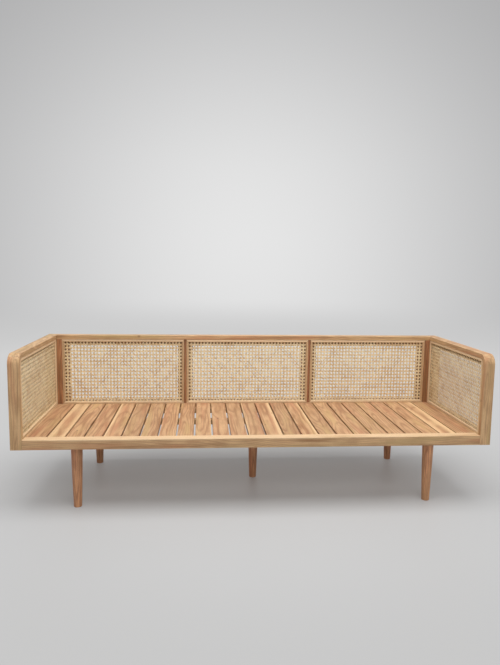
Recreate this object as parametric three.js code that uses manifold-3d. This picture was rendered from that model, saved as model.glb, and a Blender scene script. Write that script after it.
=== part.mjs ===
// A teak daybed with woven cane sides and back, on five turned legs.
// Millimetres. X runs along the bed, Y from its front to its back, Z up. The origin is on the
// floor, under the middle of the frame.

import * as THREE from 'three';
import { mergeVertices } from 'three/addons/utils/BufferGeometryUtils.js';
import Module from 'manifold-3d';

const wasm = await Module();
wasm.setup();

// Overall sizes
const LENGTH = 2000;
const DEPTH = 650;
const HEIGHT = 654;
const LEG_LENGTH = 264;

// Fits
const CLEAR = 0.3;

// Side frames and back frame
const SIDE_THICK = 46;
const BACK_THICK = 46;
const FACE_WIDTH = 21; // face of a frame member, seen from inside the bed
const CANE_LAP = 32; // timber behind the edge of the cane
const BASE_LAP = 12; // the same, along the bottom of each panel
const CORNER_RADIUS = 42; // rounded front top corner of each arm
const STILE_FACE = 25; // face of the upright at each end of the back
const MULLION_FACE = 11; // strip between two panels of the back
const MULLION_RISE = 4; // how far that strip stands in front of the cane's seat
const MULLION_THICK = 26;

// Cane and the bead that holds it in its rebate
const CANE_THICK = 2.4;
const BEAD_WIDTH = 11;
const BEAD_THICK = 6;
const BEAD_SET_BACK = 1; // from the face of the frame to the bead

// Seat frame and slats
const RAIL_HEIGHT = 41;
const FRONT_RAIL_DEPTH = 46;
const SLAT_COUNT = 25;
const SLAT_THICK = 18;
const SLAT_GAP = 7;
const END_SLAT_EXTRA = 13.5; // each end slat is wider than the others by this
const LEDGER_DEPTH = 45;
const CENTRE_RAIL_DEPTH = 35;
const CENTRE_RAIL_OFFSET = 45; // behind the middle of the bed

// Legs
const LEG_TOP = 48;
const LEG_FOOT = 33;
const FOOT_CHAMFER = 2;
const LEG_SEGMENTS = 32;
const LEG_FROM_END = 250;
const LEG_FROM_FRONT = 60;
const LEG_FROM_BACK = 52;
const CENTRE_LEG_X = 12;

const ARC_STEPS = 10;

// Sizes that follow from the ones above
const END = LENGTH / 2;
const FRONT = -DEPTH / 2;
const BACK = DEPTH / 2;
const INNER_END = END - SIDE_THICK;
const INNER_BACK = BACK - BACK_THICK;
const INNER_FRONT = FRONT + FRONT_RAIL_DEPTH;
const SEAT = LEG_LENGTH + RAIL_HEIGHT;
const REBATE = BEAD_SET_BACK + BEAD_THICK + CANE_THICK + 2 * CLEAR;
const BOARD_WIDTH = FACE_WIDTH + CANE_LAP;
const CANE_SET_BACK = BEAD_SET_BACK + BEAD_THICK + CLEAR;
const FIT_END = INNER_END - CLEAR; // end of a piece that lies between the side frames
const SLAT_UNDERSIDE = SEAT - SLAT_THICK;
const PANEL_TOP = HEIGHT - FACE_WIDTH;
const PANEL_SPACING = (2 * INNER_END) / 3; // the back is three panels of equal width

const FRAME_WOOD = { color: 0xb08a5e, roughness: 0.6, metalness: 0 };
const SLAT_WOOD = { color: 0xcda078, roughness: 0.62, metalness: 0 };
const LEG_WOOD = { color: 0x956a4a, roughness: 0.5, metalness: 0 };
const BEAD_WOOD = { color: 0xc59a6c, roughness: 0.6, metalness: 0 };
const CANE = { color: 0xd6c097, roughness: 0.55, metalness: 0 };

const daybed = new THREE.Group();

function addPart(name, geometry, finish) {
  const part = new THREE.Mesh(geometry, new THREE.MeshStandardMaterial(finish));
  part.name = name;
  daybed.add(part);
}

// Solids ---------------------------------------------------------------------------------------

function toSolid(geometry) {
  const bare = geometry.clone();
  bare.deleteAttribute('normal');
  bare.deleteAttribute('uv');
  const merged = mergeVertices(bare);
  const mesh = new wasm.Mesh({
    numProp: 3,
    vertProperties: new Float32Array(merged.attributes.position.array),
    triVerts: new Uint32Array(merged.index.array),
  });
  return new wasm.Manifold(mesh);
}

function toGeometry(solid) {
  const mesh = solid.getMesh();
  const geometry = new THREE.BufferGeometry();
  geometry.setAttribute('position', new THREE.BufferAttribute(mesh.vertProperties, 3));
  geometry.setIndex(new THREE.BufferAttribute(mesh.triVerts, 1));
  const flat = geometry.toNonIndexed();
  flat.computeVertexNormals();
  return flat;
}

function join(first, second) {
  return toGeometry(toSolid(first).add(toSolid(second)));
}

function common(first, second) {
  return toGeometry(toSolid(first).intersect(toSolid(second)));
}

// A box between two values on each axis, given in either order.
function block(x, y, z) {
  const size = [x, y, z].map(([a, b]) => Math.abs(b - a));
  const middle = [x, y, z].map(([a, b]) => (a + b) / 2);
  return new THREE.BoxGeometry(...size).translate(...middle);
}

// A shape drawn in Y and Z, as thick as the two X values are apart.
function alongX(shape, x) {
  const thick = Math.abs(x[1] - x[0]);
  const geometry = new THREE.ExtrudeGeometry(shape, {
    depth: thick,
    bevelEnabled: false,
    curveSegments: ARC_STEPS,
  });
  const turn = new THREE.Matrix4().makeBasis(
    new THREE.Vector3(0, 1, 0),
    new THREE.Vector3(0, 0, 1),
    new THREE.Vector3(1, 0, 0),
  );
  return geometry.applyMatrix4(turn).translate(Math.min(...x), 0, 0);
}

// A shape drawn in X and Z, as thick as the two Y values are apart.
function alongY(shape, y) {
  const thick = Math.abs(y[1] - y[0]);
  const geometry = new THREE.ExtrudeGeometry(shape, { depth: thick, bevelEnabled: false });
  const turn = new THREE.Matrix4().makeBasis(
    new THREE.Vector3(1, 0, 0),
    new THREE.Vector3(0, 0, 1),
    new THREE.Vector3(0, -1, 0),
  );
  return geometry.applyMatrix4(turn).translate(0, Math.max(...y), 0);
}

function polygon(points) {
  return new THREE.Shape(points.map(([u, v]) => new THREE.Vector2(u, v)));
}

// A rectangle whose corner at low u and high v is rounded, where radius isn't zero.
function panelShape(u, v, radius) {
  const shape = new THREE.Shape();
  shape.moveTo(u[0], v[0]);
  shape.lineTo(u[1], v[0]);
  shape.lineTo(u[1], v[1]);
  if (radius > 0) {
    shape.lineTo(u[0] + radius, v[1]);
    shape.absarc(u[0] + radius, v[1] - radius, radius, Math.PI / 2, Math.PI, false);
  } else {
    shape.lineTo(u[0], v[1]);
  }
  shape.closePath();
  return shape;
}

// The same outline as a flat ring of the given width.
function ringShape(u, v, radius, width) {
  const ring = panelShape(u, v, radius);
  const hole = panelShape(
    [u[0] + width, u[1] - width],
    [v[0] + width, v[1] - width],
    Math.max(radius - width, 0),
  );
  ring.holes.push(hole);
  return ring;
}

// Side frames ----------------------------------------------------------------------------------

// The front post and arm rail together, drawn in Y and Z: one hook of the given width.
function hookShape(width) {
  const inner = Math.max(CORNER_RADIUS - width, 0);
  const shape = new THREE.Shape();
  shape.moveTo(FRONT, LEG_LENGTH);
  shape.lineTo(FRONT + width, LEG_LENGTH);
  shape.lineTo(FRONT + width, HEIGHT - width - inner);
  if (inner > 0) {
    const centre = [FRONT + width + inner, HEIGHT - width - inner];
    shape.absarc(...centre, inner, Math.PI, Math.PI / 2, true);
  }
  shape.lineTo(BACK, HEIGHT - width);
  shape.lineTo(BACK, HEIGHT);
  shape.lineTo(FRONT + CORNER_RADIUS, HEIGHT);
  shape.absarc(
    FRONT + CORNER_RADIUS,
    HEIGHT - CORNER_RADIUS,
    CORNER_RADIUS,
    Math.PI / 2,
    Math.PI,
    false,
  );
  shape.closePath();
  return shape;
}

// The part of the hook's plane on one side of its mitre: 1 is the rail's side, -1 the post's.
function mitreShape(half) {
  const shift = (half * CLEAR) / Math.SQRT2;
  const reach = DEPTH + HEIGHT;
  const low = [FRONT + reach, HEIGHT - reach + shift];
  const high = [FRONT - reach, HEIGHT + reach + shift];
  return half > 0
    ? polygon([low, [low[0], high[1]], high])
    : polygon([low, high, [high[0], low[1]]]);
}

// Each member of a frame is rebated: its face layer is narrow, to leave the cane's seat, and the
// board layer behind it is wider.
function addSideFrame(name, side) {
  const face = [side * INNER_END, side * (INNER_END + REBATE)];
  const board = [side * (INNER_END + REBATE), side * END];
  const beyond = [side * (INNER_END - CLEAR), side * (END + CLEAR)];

  const hook = join(alongX(hookShape(FACE_WIDTH), face), alongX(hookShape(BOARD_WIDTH), board));
  addPart(`${name}_front_post`, common(hook, alongX(mitreShape(-1), beyond)), FRAME_WOOD);
  addPart(`${name}_arm_rail`, common(hook, alongX(mitreShape(1), beyond)), FRAME_WOOD);

  const rearPost = join(
    block(face, [INNER_BACK, BACK], [LEG_LENGTH, PANEL_TOP - CLEAR]),
    block(board, [INNER_BACK - CANE_LAP, BACK], [LEG_LENGTH, HEIGHT - BOARD_WIDTH - CLEAR]),
  );
  addPart(`${name}_rear_post`, rearPost, FRAME_WOOD);

  const faceY = [FRONT + FACE_WIDTH + CLEAR, INNER_BACK - CLEAR];
  const boardY = [FRONT + BOARD_WIDTH + CLEAR, INNER_BACK - CANE_LAP - CLEAR];
  const baseRail = join(
    block(face, faceY, [LEG_LENGTH, SEAT]),
    block(board, boardY, [LEG_LENGTH, SEAT + BASE_LAP]),
  );
  addPart(`${name}_base_rail`, baseRail, FRAME_WOOD);
}

function addSidePanel(name, side) {
  const y = [FRONT + FACE_WIDTH + CLEAR, INNER_BACK - CLEAR];
  const z = [SEAT + CLEAR, PANEL_TOP - CLEAR];
  const radius = Math.max(CORNER_RADIUS - FACE_WIDTH - CLEAR, 0);
  const caneStart = INNER_END + CANE_SET_BACK;
  const beadStart = INNER_END + BEAD_SET_BACK;
  const cane = [side * caneStart, side * (caneStart + CANE_THICK)];
  const bead = [side * beadStart, side * (beadStart + BEAD_THICK)];
  addPart(`cane_${name}`, alongX(panelShape(y, z, radius), cane), CANE);
  addPart(`bead_${name}`, alongX(ringShape(y, z, radius, BEAD_WIDTH), bead), BEAD_WOOD);
}

// Back frame -----------------------------------------------------------------------------------

function addBackRails() {
  const x = [-FIT_END, FIT_END];
  const face = [INNER_BACK, INNER_BACK + REBATE];
  const board = [INNER_BACK + REBATE, BACK];
  const top = join(
    block(x, face, [PANEL_TOP, HEIGHT]),
    block(x, board, [HEIGHT - BOARD_WIDTH, HEIGHT]),
  );
  const bottom = join(
    block(x, face, [LEG_LENGTH, SEAT]),
    block(x, board, [LEG_LENGTH, SEAT + BASE_LAP]),
  );
  addPart('back_top_rail', top, FRAME_WOOD);
  addPart('back_bottom_rail', bottom, FRAME_WOOD);
}

function addBackUprights() {
  const faceZ = [SEAT + CLEAR, PANEL_TOP - CLEAR];
  const boardZ = [SEAT + BASE_LAP + CLEAR, HEIGHT - BOARD_WIDTH - CLEAR];
  const seat = INNER_BACK + REBATE;

  for (const [name, side] of [['left', -1], ['right', 1]]) {
    const stileEdge = INNER_END - STILE_FACE;
    const stile = join(
      block([side * FIT_END, side * stileEdge], [INNER_BACK, seat], faceZ),
      block([side * FIT_END, side * (stileEdge - CANE_LAP)], [seat, BACK], boardZ),
    );
    addPart(`back_stile_${name}`, stile, FRAME_WOOD);

    const middle = (side * PANEL_SPACING) / 2;
    const ridge = [middle - MULLION_FACE / 2, middle + MULLION_FACE / 2];
    const mullion = join(
      block(ridge, [seat - MULLION_RISE, seat], faceZ),
      block([ridge[0] - CANE_LAP, ridge[1] + CANE_LAP], [seat, seat + MULLION_THICK], boardZ),
    );
    addPart(`back_mullion_${name}`, mullion, FRAME_WOOD);
  }
}

function addBackPanels() {
  const z = [SEAT + CLEAR, PANEL_TOP - CLEAR];
  const outer = INNER_END - STILE_FACE - CLEAR;
  const nearRidge = PANEL_SPACING / 2 - MULLION_FACE / 2 - CLEAR;
  const pastRidge = PANEL_SPACING / 2 + MULLION_FACE / 2 + CLEAR;
  const panels = {
    left: [-outer, -pastRidge],
    middle: [-nearRidge, nearRidge],
    right: [pastRidge, outer],
  };
  const caneStart = INNER_BACK + CANE_SET_BACK;
  const beadStart = INNER_BACK + BEAD_SET_BACK;
  for (const [name, x] of Object.entries(panels)) {
    const cane = alongY(panelShape(x, z, 0), [caneStart, caneStart + CANE_THICK]);
    const bead = alongY(ringShape(x, z, 0, BEAD_WIDTH), [beadStart, beadStart + BEAD_THICK]);
    addPart(`cane_back_${name}`, cane, CANE);
    addPart(`bead_back_${name}`, bead, BEAD_WOOD);
  }
}

// Seat -----------------------------------------------------------------------------------------

function addSeatFrame() {
  const x = [-FIT_END, FIT_END];
  const underSlats = [LEG_LENGTH, SLAT_UNDERSIDE - CLEAR];
  const frontLedger = [INNER_FRONT + CLEAR, INNER_FRONT + CLEAR + LEDGER_DEPTH];
  const rearLedger = [INNER_BACK - CLEAR - LEDGER_DEPTH, INNER_BACK - CLEAR];
  const centre = [
    CENTRE_RAIL_OFFSET - CENTRE_RAIL_DEPTH / 2,
    CENTRE_RAIL_OFFSET + CENTRE_RAIL_DEPTH / 2,
  ];
  addPart('front_rail', block(x, [FRONT, INNER_FRONT], [LEG_LENGTH, SEAT]), FRAME_WOOD);
  addPart('front_ledger', block(x, frontLedger, underSlats), FRAME_WOOD);
  addPart('rear_ledger', block(x, rearLedger, underSlats), FRAME_WOOD);
  addPart('centre_rail', block(x, centre, underSlats), FRAME_WOOD);
}

function addSlats() {
  const bare = 2 * FIT_END - (SLAT_COUNT - 1) * SLAT_GAP - 2 * END_SLAT_EXTRA;
  const width = bare / SLAT_COUNT;
  const y = [INNER_FRONT + CLEAR, INNER_BACK - CLEAR];
  let start = -FIT_END;
  for (let i = 1; i <= SLAT_COUNT; i += 1) {
    const atEnd = i === 1 || i === SLAT_COUNT;
    const end = start + width + (atEnd ? END_SLAT_EXTRA : 0);
    const name = `slat_${String(i).padStart(2, '0')}`;
    addPart(name, block([start, end], y, [SLAT_UNDERSIDE, SEAT]), SLAT_WOOD);
    start = end + SLAT_GAP;
  }
}

// Legs -----------------------------------------------------------------------------------------

function addLeg(name, x, y) {
  const top = LEG_LENGTH - CLEAR;
  const profile = [
    new THREE.Vector2(0, 0),
    new THREE.Vector2(LEG_FOOT / 2 - FOOT_CHAMFER, 0),
    new THREE.Vector2(LEG_FOOT / 2, FOOT_CHAMFER),
    new THREE.Vector2(LEG_TOP / 2, top),
    new THREE.Vector2(0, top),
  ];
  const geometry = new THREE.LatheGeometry(profile, LEG_SEGMENTS);
  addPart(name, geometry.rotateX(Math.PI / 2).translate(x, y, 0), LEG_WOOD);
}

function addLegs() {
  for (const [name, side] of [['left', -1], ['right', 1]]) {
    const x = side * (END - LEG_FROM_END);
    addLeg(`leg_front_${name}`, x, FRONT + LEG_FROM_FRONT);
    addLeg(`leg_rear_${name}`, x, BACK - LEG_FROM_BACK);
  }
  addLeg('leg_centre', CENTRE_LEG_X, CENTRE_RAIL_OFFSET);
}

addSideFrame('left', -1);
addSideFrame('right', 1);
addSidePanel('left', -1);
addSidePanel('right', 1);
addBackRails();
addBackUprights();
addBackPanels();
addSeatFrame();
addSlats();
addLegs();

export default daybed;
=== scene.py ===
import math
import random

import bmesh
import bpy
from mathutils import Matrix, Vector


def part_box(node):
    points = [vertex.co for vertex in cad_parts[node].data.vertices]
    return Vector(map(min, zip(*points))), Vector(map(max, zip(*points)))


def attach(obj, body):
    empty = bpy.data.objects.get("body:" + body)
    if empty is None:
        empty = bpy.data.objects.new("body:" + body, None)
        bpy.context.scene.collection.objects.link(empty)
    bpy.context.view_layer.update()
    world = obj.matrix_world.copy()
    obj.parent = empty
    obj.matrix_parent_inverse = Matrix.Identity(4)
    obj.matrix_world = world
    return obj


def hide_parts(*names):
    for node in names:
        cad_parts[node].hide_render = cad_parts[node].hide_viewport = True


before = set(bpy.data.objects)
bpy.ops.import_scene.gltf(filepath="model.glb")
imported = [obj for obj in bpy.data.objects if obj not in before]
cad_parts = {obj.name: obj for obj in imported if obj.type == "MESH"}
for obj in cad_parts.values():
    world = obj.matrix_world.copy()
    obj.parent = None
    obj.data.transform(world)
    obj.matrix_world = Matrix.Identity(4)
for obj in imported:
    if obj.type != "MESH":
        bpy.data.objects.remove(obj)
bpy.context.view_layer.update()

# A teak daybed: planed frame, slatted seat, turned legs, and cane webbing held by small beads.
# Metres. X runs along the bed, Y from its front to its back, Z up.

MM = 0.001

# Camera and studio
CAMERA_PLACE = (-0.2365, -2.6647, 1.0328)
CAMERA_TURN = 0.0834  # radians towards +X
CAMERA_TILT = 0.1218  # radians below the horizon
CAMERA_ROLL = 0.0147
CAMERA_LENS = 31.65
COVE_FLOOR = 4.4
COVE_BEND = 2.6
COVE_WALL = 4.4
POOL_PLACE = (0.5, 7.0, 1.2)  # the middle of the light on the back wall
POOL_REACH = 6.8
# The floor glows less near and under the bed: a painted shadow under the bed.
PAINTED_SHADOW_REACH = (0.9, 0.7)  # how far from the bed, across and deep, the floor begins to glow
GLOW_IN_PAINTED_SHADOW = 0.13  # and the share of that glow under the bed
POOL_COLOUR = (228, 228, 228)
WALL_COLOUR = (164, 164, 165)
FAR_WALL_COLOUR = (140, 140, 140)
FLOOR_COLOUR = (196, 196, 196)  # of the floor's glow
PAINT_COLOUR = (188, 188, 188)  # of the floor where it doesn't glow
WORLD_LIGHT = 0.2

# Timber
NEAR = 0.1 * MM  # nearer than this counts as touching
EDGE_EASE = 1.6 * MM
SLAT_EASE = 2.0 * MM
SLAT_END_EASE = 0.8 * MM
SHARP_ANGLE = math.radians(30)
SMOOTH_ANGLE = math.radians(35)
# The front rail's heart lies so that its top is of pale sapwood; that pale top is also a painted
# highlight on the rail.
HIGHLIGHT_HEART_PLACES = {"timber_front_rail": (0, -15 * MM, -57 * MM)}  # so its top is of pale sapwood

# Growth rings from dark line to dark line, and how far from the heart the sapwood begins
FRAME_RINGS, FRAME_SAP = 9 * MM, 72 * MM
INNER_RINGS, INNER_SAP = 10 * MM, 60 * MM
REBATE_RINGS, REBATE_SAP = 10 * MM, 80 * MM
SLAT_RINGS, SLAT_SAP = 12 * MM, 54 * MM
LEG_RINGS, LEG_SAP = 10 * MM, 80 * MM
BEAD_RINGS, BEAD_SAP = 10 * MM, 90 * MM
FRAME_FIGURE = 0.38  # how strongly the rings of the outer timbers show

# Legs
FOOT_WIDTH = 33 * MM
FOOT_ROUND = 2.5 * MM
LEG_SWELL = 0.6 * MM  # how far the taper bulges at its middle
LEG_SIDES = 64

# Beads and webbing
BEAD_WIDTH = 11 * MM
BEAD_ROUND = 2.4 * MM
CANE_PITCH = 16.9 * MM  # up the weave, from one pair of strands to the next
CANE_PITCH_ACROSS = 16.3 * MM
STRAND_WIDTH = 3.4 * MM
STRAND_THICK = 1.1 * MM
STRAND_SIDES = 5
SIDE_SWELL = 1.3  # the side panels' strands are this much thicker
PAIR_SPREAD = 1.7 * MM  # from the middle of a pair to either strand
WEAVE_RISE = STRAND_THICK / 2
DIAGONAL_RISE = STRAND_THICK
DIAGONAL_FLAT = 3.7 * MM
WANDER = 1.6 * MM  # how far the weave strays sideways
WANDER_SIZE = 70 * MM
DRIFT_STEP = 1.7  # far enough along the wander for each panel to have its own
STRAND_SMOOTH_ANGLE = math.radians(50)


# Working on a piece -----------------------------------------------------------------------------

def take(piece):
    """Makes a piece the one that operators work on."""
    if bpy.context.object and bpy.context.object.mode != "OBJECT":
        bpy.ops.object.mode_set(mode="OBJECT")
    bpy.ops.object.select_all(action="DESELECT")
    piece.select_set(True)
    bpy.context.view_layer.objects.active = piece


def added(name):
    """Names the primitive that was just added."""
    piece = bpy.context.object
    piece.name = name
    piece.data.name = name
    return piece


def new_piece(name, mesh):
    piece = bpy.data.objects.new(name, mesh)
    bpy.context.scene.collection.objects.link(piece)
    return piece


def settle(piece):
    """Puts a piece's place, turn and scale into its mesh."""
    take(piece)
    bpy.ops.object.transform_apply(location=True, rotation=True, scale=True)


def open_up(kind):
    """Enters edit mode with everything selected."""
    bpy.ops.object.mode_set(mode="EDIT")
    bpy.ops.mesh.select_mode(type=kind)
    bpy.ops.mesh.select_all(action="SELECT")


def close_up():
    bpy.ops.object.mode_set(mode="OBJECT")


def pick(piece, kind, wanted):
    """In edit mode, selects only the vertices, edges or faces that are wanted."""
    bpy.ops.mesh.select_mode(type=kind)
    bpy.ops.mesh.select_all(action="DESELECT")
    shape = bmesh.from_edit_mesh(piece.data)
    for part in {"VERT": shape.verts, "EDGE": shape.edges, "FACE": shape.faces}[kind]:
        part.select_set(wanted(part))
    shape.select_flush_mode()
    bmesh.update_edit_mesh(piece.data)


def ease(amount, segments=3):
    """Rounds the selected edges."""
    bpy.ops.mesh.bevel(offset=amount, segments=segments, profile=0.5, affect="EDGES")


def outer_corner(edge):
    return len(edge.link_faces) == 2 and edge.is_convex and edge.calc_face_angle() > SHARP_ANGLE


def long_corner(edge, grain):
    """An outer corner that runs with the grain, or round the bend of an arm, but not at a joint."""
    way = (edge.verts[1].co - edge.verts[0].co).normalized()
    at_mitre = way.y * way.z < -0.1
    return outer_corner(edge) and abs(way["XYZ".index(grain)]) > 0.69 and not at_mitre


def apply_modifier(piece, kind, **settings):
    modifier = piece.modifiers.new(kind.lower(), kind)
    for name, value in settings.items():
        setattr(modifier, name, value)
    take(piece)
    bpy.ops.object.modifier_apply(modifier=modifier.name)


def smooth(piece):
    """Soft shading over the eased edges, with the flats left flat."""
    take(piece)
    bpy.ops.object.shade_smooth_by_angle(angle=SMOOTH_ANGLE)
    apply_modifier(piece, "WEIGHTED_NORMAL", keep_sharp=True)


def copied(piece, name):
    return new_piece(name, piece.data.copy())


def fit_out(piece, slot, finishes, *nodes):
    """Gives a finished piece its materials, and puts it in the place of its CAD nodes."""
    if finishes:
        piece.data.materials.clear()
        for finish in finishes:
            piece.data.materials.append(finish)
    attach(piece, "root")
    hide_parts(*nodes)


def mark(piece, name, kind, value):
    """Gives every vertex of a piece the same value of an attribute."""
    attribute = piece.data.attributes.new(name, kind, "POINT")
    count = len(piece.data.vertices)
    if kind == "FLOAT":
        attribute.data.foreach_set("value", [value] * count)
    else:
        attribute.data.foreach_set("vector", list(value) * count)


# Materials --------------------------------------------------------------------------------------

class Value:
    """A number in a material. Arithmetic on values adds the Math nodes that do it."""

    def __init__(self, finish, socket):
        self.finish = finish
        self.socket = socket

    def maths(self, operation, *terms):
        inputs = dict(enumerate(terms))
        return self.finish.add("ShaderNodeMath", {"operation": operation}, inputs)

    def __add__(self, other):
        return self.maths("ADD", self, other)

    def __radd__(self, other):
        return self.maths("ADD", other, self)

    def __sub__(self, other):
        return self.maths("SUBTRACT", self, other)

    def __rsub__(self, other):
        return self.maths("SUBTRACT", other, self)

    def __mul__(self, other):
        return self.maths("MULTIPLY", self, other)

    def __rmul__(self, other):
        return self.maths("MULTIPLY", other, self)

    def __truediv__(self, other):
        return self.maths("DIVIDE", self, other)

    def __pow__(self, other):
        return self.maths("POWER", self, other)

    def sine(self):
        return self.maths("SINE", self)

    def step(self, low, high):
        """0 below low, 1 above high, and a smooth rise between them."""
        settings = {"interpolation_type": "SMOOTHSTEP"}
        inputs = {"Value": self, "From Min": low, "From Max": high}
        return self.finish.add("ShaderNodeMapRange", settings, inputs)


class Finish:
    """A material under the hand: its nodes are added one at a time."""

    def __init__(self, name):
        self.material = bpy.data.materials.new(name)
        self.material.use_nodes = True
        self.tree = self.material.node_tree
        self.shader = self.tree.nodes["Principled BSDF"]

    def add(self, kind, settings=None, inputs=None, output=0):
        """Adds a node, with its settings and then its inputs, and returns one output."""
        node = self.tree.nodes.new(kind)
        for name, value in (settings or {}).items():
            setattr(node, name, value)
        for key, value in (inputs or {}).items():
            self.put(self.find(node.inputs, key), value)
        return Value(self, self.find(node.outputs, output))

    @staticmethod
    def find(sockets, key):
        if isinstance(key, int):
            return sockets[key]
        named = [s for s in sockets if s.identifier == key]
        return named[0] if named else sockets[key]

    def put(self, socket, value):
        if isinstance(value, Value):
            self.tree.links.new(value.socket, socket)
        else:
            socket.default_value = value[:3] if socket.type == "VECTOR" else value

    def surface(self, **inputs):
        """Sets the shader's own sockets, each by its name with _ for a space."""
        for name, value in inputs.items():
            self.put(self.shader.inputs[name.replace("_", " ")], value)
        return self.material

    def vector(self, x, y, z):
        return self.add("ShaderNodeCombineXYZ", {}, {"X": x, "Y": y, "Z": z})

    def noise(self, place, detail=2.0, roughness=0.5):
        inputs = {"Vector": place, "Scale": 1.0, "Detail": detail, "Roughness": roughness}
        return self.add("ShaderNodeTexNoise", {}, inputs)

    def blend(self, share, first, second):
        """A colour between two others."""
        inputs = {"Factor_Float": share, "A_Color": first, "B_Color": second}
        return self.add("ShaderNodeMix", {"data_type": "RGBA"}, inputs, "Result_Color")

    def scaled(self, colour, amount):
        """A colour or a place, times a number."""
        settings = {"operation": "SCALE"}
        return self.add("ShaderNodeVectorMath", settings, {0: colour, "Scale": amount}, "Vector")

    def bump(self, height, distance, strength=1.0):
        inputs = {"Height": height, "Distance": distance, "Strength": strength}
        return self.add("ShaderNodeBump", {}, inputs)


def rgb(red, green, blue):
    """A colour from screen values of 0 to 255."""
    def linear(value):
        share = value / 255
        return share / 12.92 if share <= 0.04045 else ((share + 0.055) / 1.055) ** 2.4
    return (linear(red), linear(green), linear(blue), 1.0)


def grain_place(finish, grain):
    """Along the grain, and the two ways across it, measured from the heart of the tree."""
    place = finish.add("ShaderNodeTexCoord", output="Object")
    pith = finish.add("ShaderNodeAttribute", {"attribute_name": "pith"}, output="Vector")
    inputs = {0: place, 1: pith}
    local = finish.add("ShaderNodeVectorMath", {"operation": "SUBTRACT"}, inputs, "Vector")
    axes = [finish.add("ShaderNodeSeparateXYZ", {}, {0: local}, way) for way in "XYZ"]
    along = axes.pop("XYZ".index(grain))
    tone_of = finish.add("ShaderNodeTexWhiteNoise", {"noise_dimensions": "3D"}, {"Vector": pith})
    return along, axes[0], axes[1], tone_of


def teak(name, grain, tones, ring_pitch, sap_from, figure=0.6):
    """Sanded teak. tones are its light, dark, olive, red and sapwood colours, and figure is how
    strongly its rings show."""
    light, dark, olive, red, sap = [rgb(*tone) for tone in tones]
    finish = Finish(name)
    along, across, deep, board = grain_place(finish, grain)

    # Two slow noises bend the rings
    sway = finish.noise(finish.vector(along * 3.4, across * 9.0, deep * 9.0), 1.0)
    swell = finish.noise(finish.vector(along * 2.3 + 7.0, across * 5.0, deep * 5.0), 1.0)
    side = across + (sway - 0.5) * 0.05
    depth = deep + (swell - 0.5) * 0.09
    radius = (side * side + depth * depth) ** 0.5

    # Fibres, streaks, pores, changes of hue, clouds and pin knots, from fine and long to broad
    fibre = finish.noise(finish.vector(along * 16.0, across * 620.0, deep * 620.0), 3.0, 0.6)
    streak = finish.noise(finish.vector(along * 3.2, across * 80.0, deep * 80.0), 3.0, 0.6)
    pore = finish.noise(finish.vector(along * 95.0, across * 1500.0, deep * 1500.0), 1.0)
    pore = pore.step(0.60, 0.74)
    hue = finish.noise(finish.vector(along * 2.4 + 3.0, across * 24.0, deep * 24.0), 2.0)
    cloud = finish.noise(finish.vector(along * 12.0, across * 34.0, deep * 34.0 + 5.0), 3.0)
    spot_place = finish.vector(along * 6.0, across * 14.0, deep * 4.0)
    spot = finish.add("ShaderNodeTexVoronoi", {}, {"Vector": spot_place, "Scale": 1.0}, "Distance")

    ring = (radius * (2 * math.pi / ring_pitch) + streak * 4.0).sine() * 0.5 + 0.5
    colour = finish.blend(cloud.step(0.35, 0.70) * 0.35, light, dark)
    colour = finish.blend(ring ** 3.0 * figure, colour, dark)
    colour = finish.blend(streak.step(0.48, 0.72) * 0.7, colour, dark)
    colour = finish.blend(hue.step(0.52, 0.70) * 0.7, colour, olive)
    colour = finish.blend(hue.step(0.47, 0.30) * 0.6, colour, red)
    edge = (across * across + deep * deep) ** 0.5 + (streak - 0.5) * 0.01 + (sway - 0.5) * 0.012
    colour = finish.blend(edge.step(sap_from, sap_from + 0.006) * 0.75, colour, sap)
    colour = finish.blend(spot.step(0.07, 0.03) * board.step(0.5, 0.6) * 0.8, colour, rgb(92, 58, 34))
    shade = (0.9 + board * 0.2) * (0.86 + fibre * 0.28) * (1 - pore * 0.25)
    height = fibre * 0.4 - pore
    return finish.surface(
        Base_Color=finish.scaled(colour, shade),
        Roughness=0.42 + fibre * 0.2,
        Normal=finish.bump(height, 0.12 * MM, 0.5),
        Specular_IOR_Level=0.5,
    )


# Light, dark, olive, red and sapwood colours
FRAME_TONES = [(206, 168, 124), (136, 96, 58), (178, 150, 102), (180, 124, 86), (228, 196, 156)]
# Darker wood for the stiles and mullions, darker still as painted shade in the back's corners.
SHADED_INNER_TONES = [(176, 124, 84), (102, 64, 38), (144, 104, 66), (160, 98, 66), (190, 148, 106)]
# Dark tones for the rebate floors behind the cane: painted shade seen through the webbing's holes.
SHADED_REBATE_TONES = [(120, 80, 44), (76, 46, 24), (106, 74, 40), (106, 62, 36), (124, 88, 52)]
SLAT_TONES = [(198, 158, 118), (142, 94, 60), (190, 156, 108), (184, 128, 94), (226, 192, 146)]
BEAD_TONES = [(220, 184, 142), (172, 128, 88), (200, 168, 120), (202, 152, 112), (232, 204, 166)]
# Darker tones for the back's upright beads: darker wood, and painted shade beside the stiles and
# mullions.
SHADED_POST_BEAD_TONES = [(186, 148, 110), (138, 98, 66), (168, 136, 94), (170, 124, 88), (200, 166, 126)]
LEG_TONES = [(214, 156, 112), (134, 84, 56), (170, 126, 88), (188, 116, 80), (208, 162, 120)]


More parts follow.
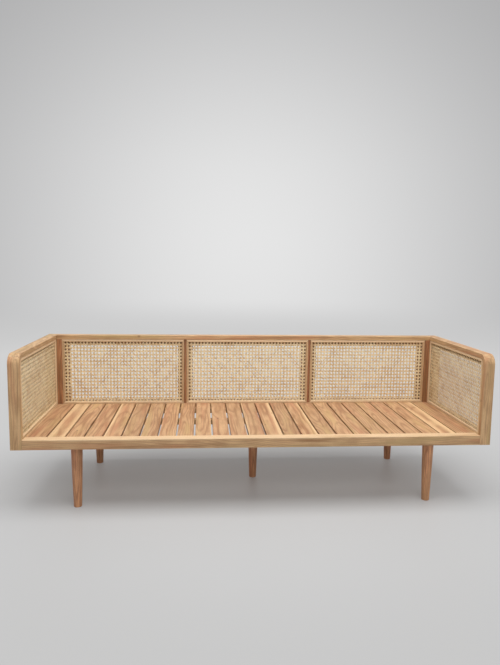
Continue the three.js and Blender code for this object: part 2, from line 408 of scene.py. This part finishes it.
def cane_finish():
    """Split cane, each strand a little different, with dark knots, and painted shade deep in the
    weave.
    """
    finish = Finish("cane_webbing")
    pale, straw = rgb(250, 234, 196), rgb(238, 210, 162)
    # deep is the colour of the painted shade deep in the weave.
    tan, knot, deep = rgb(186, 140, 88), rgb(106, 70, 40), rgb(128, 84, 48)
    place = finish.add("ShaderNodeTexCoord", output="Object")
    strand = finish.add("ShaderNodeAttribute", {"attribute_name": "strand"}, output="Fac")
    panel = finish.add("ShaderNodeAttribute", {"attribute_name": "panel"}, output="Fac")
    standing = finish.add("ShaderNodeAttribute", {"attribute_name": "standing"}, output="Fac")
    pair = finish.vector(strand, panel, 0.0)
    own = finish.add("ShaderNodeTexWhiteNoise", {"noise_dimensions": "2D"}, {"Vector": pair})
    broad = finish.noise(finish.scaled(place, 7.0), 2.0)
    patch = finish.noise(finish.scaled(place, 24.0), 1.0)
    fine = finish.noise(finish.scaled(place, 160.0), 3.0, 0.6)
    colour = finish.blend(own.step(0.1, 0.9), pale, straw)
    colour = finish.blend(broad.step(0.45, 0.75) * 0.25, colour, tan)
    colour = finish.blend((own * 0.6 + patch).step(0.90, 1.06) * 0.42, colour, tan)
    colour = finish.blend((fine + own * 0.1).step(0.68, 0.82) * 0.4, colour, knot)
    # Painted shade: the deeper a point lies in the weave, the darker it is.
    colour = finish.blend(standing.step(0.62, 0.15) * 0.4, colour, deep)
    return finish.surface(
        Base_Color=finish.scaled(colour, 0.9 + fine * 0.2),
        Roughness=0.4 + fine * 0.2,
        Normal=finish.bump(fine, 0.08 * MM, 0.4),
        Specular_IOR_Level=0.45,
    )


def studio_finish():
    """Pale paint on the floor, turning into a glowing wall with a painted pool of light at the back.
    The floor glows too, but less near and under the bed, which paints a shadow there.
    """
    finish = Finish("studio_paint")
    place = finish.add("ShaderNodeTexCoord", output="Object")
    x, y, z = [finish.add("ShaderNodeSeparateXYZ", {}, {0: place}, way) for way in "XYZ"]
    across, deep = x / PAINTED_SHADOW_REACH[0], y / PAINTED_SHADOW_REACH[1]
    away_share = (across * across + deep * deep) ** 0.5
    # The share of glow, low near and under the bed, where it paints a shadow.
    wall = GLOW_IN_PAINTED_SHADOW + away_share.step(0.65, 2.0) * (1 - GLOW_IN_PAINTED_SHADOW)
    inputs = {0: place, 1: POOL_PLACE}
    away = finish.add("ShaderNodeVectorMath", {"operation": "DISTANCE"}, inputs, "Value")
    glow = finish.blend(away.step(0.0, POOL_REACH), rgb(*POOL_COLOUR), rgb(*WALL_COLOUR))
    glow = finish.blend(away.step(POOL_REACH, 2 * POOL_REACH), glow, rgb(*FAR_WALL_COLOUR))
    glow = finish.blend(z.step(0.0, 0.5), rgb(*FLOOR_COLOUR), glow)
    return finish.surface(
        Base_Color=finish.scaled(rgb(*PAINT_COLOUR), 1 - wall),
        Emission_Color=finish.scaled(glow, wall),
        Emission_Strength=1.0,
        Roughness=0.45,
        Specular_IOR_Level=0.3,
    )


# Timber -----------------------------------------------------------------------------------------

def heart(piece, grain, spread=20 * MM, nearest=12 * MM, furthest=35 * MM):
    """Says where the heart of the tree lay beside this timber, which sets its grain.

    It is up to spread to either side of the middle, and from nearest to furthest deeper.
    """
    draw = random.Random(piece.name)
    corners = [Vector(corner) for corner in piece.bound_box]
    middle = sum(corners, Vector()) / len(corners)
    offset = Vector(draw.uniform(-spread, spread) for _ in "XYZ")
    offset["XYZ".index("Z" if grain != "Z" else "Y")] -= draw.uniform(nearest, furthest)
    # A listed heart place wins over the drawn one; the front rail's gives it a pale top that is
    # partly a painted highlight.
    offset = Vector(HIGHLIGHT_HEART_PLACES.get(piece.name, offset))
    offset["XYZ".index(grain)] += draw.uniform(1.0, 3.0)
    mark(piece, "pith", "FLOAT_VECTOR", middle + offset)


def timber(node, grain, finishes):
    """A planed timber with eased edges, from the solid that the frame gives."""
    piece = new_piece("timber_" + node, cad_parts[node].data.copy())
    take(piece)
    bpy.ops.mesh.customdata_custom_splitnormals_clear()
    open_up("EDGE")
    bpy.ops.mesh.remove_doubles(threshold=0.01 * MM)
    bpy.ops.mesh.dissolve_limited(angle_limit=math.radians(1))
    pick(piece, "EDGE", lambda edge: long_corner(edge, grain))
    ease(EDGE_EASE)
    close_up()
    smooth(piece)
    heart(piece, grain)
    fit_out(piece, "frame_teak", finishes, node)
    # Faces close behind the cane take the second finish, which is painted shade.
    for face in piece.data.polygons:
        face.material_index = 1 if under_cane(face) else 0


def under_cane(face):
    """Whether a face is the floor of a rebate, close behind a cane panel."""
    near = 0.6 * MM
    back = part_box("cane_back_middle")[1].y
    left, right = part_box("cane_left")[0].x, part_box("cane_right")[1].x
    spot, way = face.center, face.normal
    behind = way.y < -0.9 and abs(spot.y - back) < near
    beside = abs(way.x) > 0.9 and min(abs(spot.x - left), abs(spot.x - right)) < near
    return behind or beside


def build_frame():
    """All the timbers but the slats. The upright ones inside the back are of darker wood, darkened
    further with painted shade.
    """
    outer = {}
    for way in "XYZ":
        name = "frame_teak_" + way.lower()
        outer[way] = teak(name, way, FRAME_TONES, FRAME_RINGS, FRAME_SAP, FRAME_FIGURE)
    # The rebate floors behind the cane are painted dark: painted shade.
    rebate = {}
    for way in "XYZ":
        name = "rebate_teak_" + way.lower()
        rebate[way] = teak(name, way, SHADED_REBATE_TONES, REBATE_RINGS, REBATE_SAP)
    # The stiles and mullions are of darker wood, and that darkness also paints in the shade of the
    # back's corners.
    inner = teak("inner_teak", "Z", SHADED_INNER_TONES, INNER_RINGS, INNER_SAP)
    grains = {"rail": "X", "ledger": "X", "post": "Z", "stile": "Z", "mullion": "Z"}
    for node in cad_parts:
        words = [word for word in grains if word in node.split("_")]
        if not words:
            continue
        way = "Y" if node.endswith(("arm_rail", "base_rail")) else grains[words[0]]
        face = inner if words[0] in ("stile", "mullion") else outer[way]
        timber(node, way, [face, rebate[way]])


def plane_board(name, low, high):
    """A slat: a board with its edges eased, and those round its top more."""
    bpy.ops.object.select_all(action="DESELECT")
    bpy.ops.mesh.primitive_cube_add(size=1, location=(low + high) / 2)
    piece = added(name)
    piece.scale = high - low
    settle(piece)
    open_up("EDGE")
    pick(piece, "EDGE", lambda edge: min(v.co.z for v in edge.verts) > high.z - NEAR)
    ease(SLAT_EASE, 4)
    shortest = 15 * MM
    pick(piece, "EDGE", lambda edge: outer_corner(edge) and edge.calc_length() > shortest)
    ease(SLAT_END_EASE, 2)
    close_up()
    smooth(piece)
    return piece


def build_slats():
    finish = teak("slat_teak", "Y", SLAT_TONES, SLAT_RINGS, SLAT_SAP)
    nodes = sorted(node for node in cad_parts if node.startswith("slat_"))
    model_low, model_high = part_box(nodes[1])
    model = plane_board("board_model", model_low, model_high)
    width = model_high.x - model_low.x
    for node in nodes:
        low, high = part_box(node)
        piece = copied(model, node.replace("slat", "board"))
        piece.location.x = low.x - model_low.x
        settle(piece)
        extra = (high.x - low.x) - width
        open_up("VERT")
        pick(piece, "VERT", lambda corner: corner.co.x > (low.x + high.x) / 2 - extra / 2)
        bpy.ops.transform.translate(value=(extra, 0, 0))
        close_up()
        heart(piece, "Y", 22 * MM, 12 * MM, 30 * MM)
        fit_out(piece, "slat_teak", [finish], node)
    bpy.data.objects.remove(model)


# Legs -------------------------------------------------------------------------------------------

def leg_profile(height, top):
    """Heights and radii up a leg: a rounded foot, then a taper that swells a little."""
    foot = FOOT_WIDTH / 2
    steps = 4
    points = []
    for i in range(steps + 1):
        turn = i / steps * math.pi / 2
        rise = FOOT_ROUND * (1 - math.cos(turn))
        points.append((rise, foot - FOOT_ROUND * (1 - math.sin(turn))))
    rows = 10
    for i in range(1, rows + 1):
        share = i / rows
        swell = LEG_SWELL * math.sin(share * math.pi)
        rise = FOOT_ROUND + (height - FOOT_ROUND) * share
        points.append((rise, foot + (top - foot) * share + swell))
    return points


def turn_leg(name, height, top):
    """Builds one leg on the origin, ring by ring up its profile."""
    points = leg_profile(height, top)
    bpy.ops.object.select_all(action="DESELECT")
    bpy.ops.mesh.primitive_circle_add(vertices=LEG_SIDES, radius=points[0][1], fill_type="NGON")
    piece = added(name)
    open_up("FACE")
    for (low, before), (high, after) in zip(points, points[1:]):
        bpy.ops.mesh.extrude_region_move(TRANSFORM_OT_translate={"value": (0, 0, high - low)})
        share = after / before
        bpy.ops.transform.resize(value=(share, share, 1), center_override=(0, 0, high))
    bpy.ops.mesh.select_all(action="SELECT")
    bpy.ops.mesh.normals_make_consistent(inside=False)
    close_up()
    smooth(piece)
    return piece


def build_legs():
    finish = teak("leg_teak", "Z", LEG_TONES, LEG_RINGS, LEG_SAP)
    nodes = sorted(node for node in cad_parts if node.startswith("leg_"))
    low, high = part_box(nodes[0])
    model = turn_leg("leg_model", high.z - low.z, (high.x - low.x) / 2)
    for node in nodes:
        low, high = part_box(node)
        piece = copied(model, "turned_" + node)
        piece.location = ((low.x + high.x) / 2, (low.y + high.y) / 2, low.z)
        settle(piece)
        heart(piece, "Z", 6 * MM, 20 * MM, 40 * MM)
        fit_out(piece, "leg_teak", [finish], node)
    bpy.data.objects.remove(model)


# Panels -----------------------------------------------------------------------------------------
# A panel is made standing on the origin, facing -Y, and is then turned to its place.

def panel_turn(node):
    """The way a panel is turned, and the side of it that its rounded corner is on."""
    if node.endswith("_left") and "back" not in node:
        return math.radians(90), -1
    if node.endswith("_right") and "back" not in node:
        return math.radians(-90), 1
    return 0.0, 0


def panel_size(node):
    low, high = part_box(node)
    width = high.x - low.x if "back" in node else high.y - low.y
    thick = high.y - low.y if "back" in node else high.x - low.x
    return width, high.z - low.z, thick


def stand_in_place(piece, node):
    low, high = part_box(node)
    piece.rotation_euler.z = panel_turn(node)[0]
    piece.location = (low + high) / 2
    settle(piece)


def corner_radius(node):
    """The radius of a side panel's rounded corner, from the arc in its solid."""
    low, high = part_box(node)
    top = [v.co.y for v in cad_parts[node].data.vertices if v.co.z > high.z - NEAR]
    return min(top) - low.y


def bead_ring(node):
    """A bead round a panel: a flat ring with its two front edges well rounded."""
    width, height, thick = panel_size(node)
    bpy.ops.object.select_all(action="DESELECT")
    bpy.ops.mesh.primitive_plane_add(size=1, rotation=(math.radians(90), 0, 0))
    piece = added(node.replace("bead", "strip"))
    settle(piece)
    piece.scale = (width, 1, height)
    piece.location.y = -thick / 2
    settle(piece)
    side = panel_turn(node)[1]
    if side:
        open_up("VERT")
        pick(piece, "VERT", lambda corner: corner.co.x * side > 0 and corner.co.z > 0)
        bpy.ops.mesh.bevel(offset=corner_radius(node), segments=10, affect="VERTICES")
        close_up()
    open_up("FACE")
    bpy.ops.mesh.inset(thickness=BEAD_WIDTH)
    bpy.ops.mesh.delete(type="FACE")
    bpy.ops.mesh.select_all(action="SELECT")
    bpy.ops.mesh.extrude_region_move(TRANSFORM_OT_translate={"value": (0, thick, 0)})
    bpy.ops.mesh.select_all(action="SELECT")
    bpy.ops.mesh.normals_make_consistent(inside=False)
    pick(piece, "EDGE", lambda edge: outer_corner(edge) and max(v.co.y for v in edge.verts) < 0)
    ease(BEAD_ROUND, 4)
    close_up()
    return piece, width, height


def bead_grain(piece, width, height):
    """The upright lengths of a bead take its second finish."""
    for face in piece.data.polygons:
        beside = width / 2 - abs(face.center.x)
        above = height / 2 - abs(face.center.z)
        face.material_index = 1 if beside < above else 0


def build_beads():
    finishes = {}
    for way in "XYZ":
        name = "bead_teak_" + way.lower()
        finishes[way] = teak(name, way, BEAD_TONES, BEAD_RINGS, BEAD_SAP)
    # The back's upright beads take the darker tones, partly as painted shade.
    inner = teak("bead_teak_inner", "Z", SHADED_POST_BEAD_TONES, BEAD_RINGS, BEAD_SAP)
    for node in sorted(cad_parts):
        if not node.startswith("bead_"):
            continue
        piece, width, height = bead_ring(node)
        level = finishes["X" if "back" in node else "Y"]
        piece.data.materials.append(level)
        piece.data.materials.append(inner if "back" in node else finishes["Z"])
        bead_grain(piece, width, height)
        stand_in_place(piece, node)
        smooth(piece)
        heart(piece, "X", 10 * MM, 10 * MM, 30 * MM)
        fit_out(piece, "bead_teak", [], node)


def strand(name, lean, start, wave):
    """One repeat of a strand. lean turns it from upright; wave lists (distance, height)."""
    bpy.ops.object.select_all(action="DESELECT")
    bpy.ops.mesh.primitive_circle_add(vertices=STRAND_SIDES, radius=1, rotation=(0, 0, math.pi))
    piece = added(name)
    settle(piece)
    piece.scale = (STRAND_WIDTH / 2, STRAND_THICK / 2, 1)
    settle(piece)
    way = Vector((math.sin(lean), 0, math.cos(lean)))
    piece.rotation_euler.y = lean
    piece.location = Vector(start) + way * wave[0][0] + Vector((0, -wave[0][1], 0))
    settle(piece)
    open_up("EDGE")
    for (before, low), (after, high) in zip(wave, wave[1:]):
        move = way * (after - before) + Vector((0, low - high, 0))
        bpy.ops.mesh.extrude_region_move(TRANSFORM_OT_translate={"value": move})
    bpy.ops.mesh.select_all(action="SELECT")
    bpy.ops.mesh.normals_make_consistent(inside=False)
    close_up()
    return piece


def repeat(piece, count, step, joined):
    apply_modifier(
        piece, "ARRAY", count=count, use_relative_offset=False, use_constant_offset=True,
        constant_offset_displace=step, use_merge_vertices=joined, merge_threshold=0.02 * MM,
    )


def lay_strands(piece, length_count, length_step, count, step):
    """Runs a strand to its length, lays it side by side, and numbers the strands."""
    repeat(piece, length_count, length_step, True)
    size = len(piece.data.vertices)
    repeat(piece, count, step, False)
    draw = random.Random(piece.name)
    numbers = [draw.uniform(0, 100) for _ in range(count)]
    attribute = piece.data.attributes.new("strand", "FLOAT", "POINT")
    attribute.data.foreach_set("value", [number for number in numbers for _ in range(size)])


def lay_pairs(columns, rows, left, low):
    """The pairs of upright strands and of level ones, woven through each other."""
    half = CANE_PITCH / 2
    upright = (0, 0, CANE_PITCH)
    level = (CANE_PITCH, 0, 0)
    pieces = []
    for name, sign in (("first", 1), ("second", -1)):
        rise = sign * WEAVE_RISE
        wave = [(-half, 0), (-PAIR_SPREAD, rise), (PAIR_SPREAD, -rise), (half, 0)]
        up = strand(f"upright_{name}", 0.0, (left - sign * PAIR_SPREAD, 0, low), wave)
        lay_strands(up, rows, upright, columns, level)
        wave = [(-half, 0), (-PAIR_SPREAD, -rise), (PAIR_SPREAD, rise), (half, 0)]
        start = (left, 0, low - sign * PAIR_SPREAD)
        across = strand(f"level_{name}", math.radians(90), start, wave)
        lay_strands(across, columns, level, rows, upright)
        pieces += [up, across]
    return pieces


def lay_diagonals(columns, rows, left, low):
    """The single diagonals, which pass over one pair and under the next."""
    run = CANE_PITCH / math.sqrt(2)
    flats = [-DIAGONAL_FLAT, DIAGONAL_FLAT, run - DIAGONAL_FLAT, run + DIAGONAL_FLAT]
    places = flats + [2 * run - DIAGONAL_FLAT]
    heights = [DIAGONAL_RISE, DIAGONAL_RISE, -DIAGONAL_RISE, -DIAGONAL_RISE, DIAGONAL_RISE]
    pieces = []
    for name, sign in (("rising", 1), ("falling", -1)):
        wave = [(place, sign * height) for place, height in zip(places, heights)]
        first = left - rows * CANE_PITCH if sign > 0 else left
        start = (first, 0, low - CANE_PITCH / 2)
        slant = strand(name, sign * math.radians(45), start, wave)
        step = (sign * CANE_PITCH, 0, CANE_PITCH)
        lay_strands(slant, rows + 1, step, columns + rows, (CANE_PITCH, 0, 0))
        pieces.append(slant)
    return pieces


def weave_sheet(columns, rows):
    """A sheet of six-way webbing. Its standing is how far out each point is, from 0 to 1."""
    half = CANE_PITCH / 2
    left, low = half - columns * half, half - rows * half
    pieces = lay_pairs(columns, rows, left, low) + lay_diagonals(columns, rows, left, low)
    take(pieces[0])
    for piece in pieces:
        piece.select_set(True)
    bpy.ops.object.join()
    sheet = added("webbing")
    outside = DIAGONAL_RISE + STRAND_THICK / 2
    attribute = sheet.data.attributes.new("standing", "FLOAT", "POINT")
    attribute.data.foreach_set("value", [abs(v.co.y) / outside for v in sheet.data.vertices])
    return sheet


def stray(piece, place):
    """Lets the weave wander a little sideways, differently for each panel."""
    drift = bpy.data.textures.new("drift", "CLOUDS")
    drift.noise_scale = WANDER_SIZE
    piece.location.x = place
    for way in ("X", "Z"):
        apply_modifier(
            piece, "DISPLACE", texture=drift, texture_coords="GLOBAL", direction=way,
            strength=WANDER, mid_level=0.5,
        )
        piece.location.z += 1.0  # so that the second way has a drift of its own
    piece.location = (0, 0, 0)


def cut_back(place, way):
    """Cuts away what lies beyond a plane."""
    bpy.ops.mesh.select_all(action="SELECT")
    bpy.ops.mesh.bisect(plane_co=place, plane_no=way, clear_outer=True)


def trim(piece, width, height, side, radius):
    """Cuts a sheet to a panel's size, and closes the ends of the strands."""
    take(piece)
    open_up("VERT")
    for x in (-1, 1):
        cut_back((x * width / 2, 0, 0), (x, 0, 0))
    for z in (-1, 1):
        cut_back((0, 0, z * height / 2), (0, 0, z))
    if side:
        cut_back((side * (width / 2 - radius), 0, height / 2), (side, 0, 1))
    bpy.ops.mesh.select_all(action="SELECT")
    bpy.ops.mesh.fill_holes(sides=10)
    bpy.ops.mesh.select_all(action="SELECT")
    bpy.ops.mesh.normals_make_consistent(inside=False)
    close_up()


def panel_counts(node):
    """How many pairs of strands a panel has, across and up."""
    width, height, _ = panel_size(node)
    return round(width / CANE_PITCH_ACROSS), round(height / CANE_PITCH)


def fit_panel(piece, node, most):
    """Shifts and stretches the sheet so that a panel takes a whole number of pairs."""
    width, height, _ = panel_size(node)
    columns, rows = panel_counts(node)
    side = panel_turn(node)[1]
    piece.location.x = (most[0] - columns) % 2 * CANE_PITCH / 2
    piece.location.z = (most[1] - rows) % 2 * CANE_PITCH / 2
    settle(piece)
    swell = SIDE_SWELL if side else 1
    piece.scale = (width / (columns * CANE_PITCH), swell, height / (rows * CANE_PITCH))
    settle(piece)
    return width, height, side


def build_webbing():
    finish = cane_finish()
    nodes = sorted(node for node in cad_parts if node.startswith("cane_"))
    spare = 2
    most = [max(panel_counts(node)[way] for node in nodes) + spare for way in (0, 1)]
    sheet = weave_sheet(*most)
    for number, node in enumerate(nodes):
        piece = copied(sheet, node.replace("cane", "weave"))
        width, height, side = fit_panel(piece, node, most)
        stray(piece, number * DRIFT_STEP)
        trim(piece, width, height, side, corner_radius(node) if side else 0)
        stand_in_place(piece, node)
        take(piece)
        bpy.ops.object.shade_smooth_by_angle(angle=STRAND_SMOOTH_ANGLE)
        mark(piece, "panel", "FLOAT", number + 0.5)  # so that no two panels' strands look alike
        fit_out(piece, "woven_cane", [finish], node)
    bpy.data.objects.remove(sheet)


# Studio -----------------------------------------------------------------------------------------

def set_camera():
    camera = bpy.data.objects.new("camera", bpy.data.cameras.new("camera"))
    bpy.context.scene.collection.objects.link(camera)
    turn = Matrix.Rotation(-CAMERA_TURN, 4, "Z")
    tilt = Matrix.Rotation(math.pi / 2 - CAMERA_TILT, 4, "X")
    roll = Matrix.Rotation(CAMERA_ROLL, 4, "Z")
    camera.matrix_world = Matrix.Translation(CAMERA_PLACE) @ turn @ tilt @ roll
    camera.data.lens = CAMERA_LENS
    bpy.context.scene.camera = camera


def build_cove():
    """A round studio floor that curves up into its wall."""
    bpy.ops.object.select_all(action="DESELECT")
    bpy.ops.mesh.primitive_circle_add(vertices=96, radius=COVE_FLOOR, fill_type="NGON")
    piece = added("studio_cove")
    open_up("FACE")
    bends = 16
    radius, height = COVE_FLOOR, 0.0
    rings = []
    for i in range(1, bends + 1):
        turn = i / bends * math.pi / 2
        rings.append((COVE_FLOOR + COVE_BEND * math.sin(turn), COVE_BEND * (1 - math.cos(turn))))
    rings.append((COVE_FLOOR + COVE_BEND, COVE_BEND + COVE_WALL))
    pick(piece, "EDGE", lambda edge: edge.is_boundary)
    for wider, higher in rings:
        bpy.ops.mesh.extrude_region_move(
            TRANSFORM_OT_translate={"value": (0, 0, higher - height)})
        share = wider / radius
        bpy.ops.transform.resize(value=(share, share, 1), center_override=(0, 0, higher))
        radius, height = wider, higher
    bpy.ops.mesh.select_all(action="SELECT")
    bpy.ops.mesh.normals_make_consistent(inside=True)
    close_up()
    take(piece)
    bpy.ops.object.shade_smooth_by_angle(angle=SMOOTH_ANGLE)
    piece.data.materials.append(studio_finish())


def add_lamp(name, place, target, size, power):
    lamp = bpy.data.objects.new(name, bpy.data.lights.new(name, "AREA"))
    bpy.context.scene.collection.objects.link(lamp)
    lamp.data.shape = "RECTANGLE"
    lamp.data.size, lamp.data.size_y = size
    lamp.data.energy = power
    lamp.location = place
    aim = Vector(target) - Vector(place)
    lamp.rotation_euler = aim.to_track_quat("-Z", "Y").to_euler()


def light_studio():
    add_lamp("overhead", (0, -0.5, 3.4), target=(0, 0, 0), size=(3.6, 2.4), power=118)
    add_lamp("front", (0.7, -3.6, 2.7), target=(0, 0, 0.3), size=(3.0, 2.0), power=50)
    world = bpy.data.worlds.new("studio_air")
    world.use_nodes = True
    air = world.node_tree.nodes["Background"]
    air.inputs["Color"].default_value = (1, 1, 1, 1)
    air.inputs["Strength"].default_value = WORLD_LIGHT
    bpy.context.scene.world = world
    bpy.context.scene.view_settings.view_transform = "Standard"


set_camera()
build_frame()
build_slats()
build_legs()
build_beads()
build_webbing()
build_cove()
light_studio()
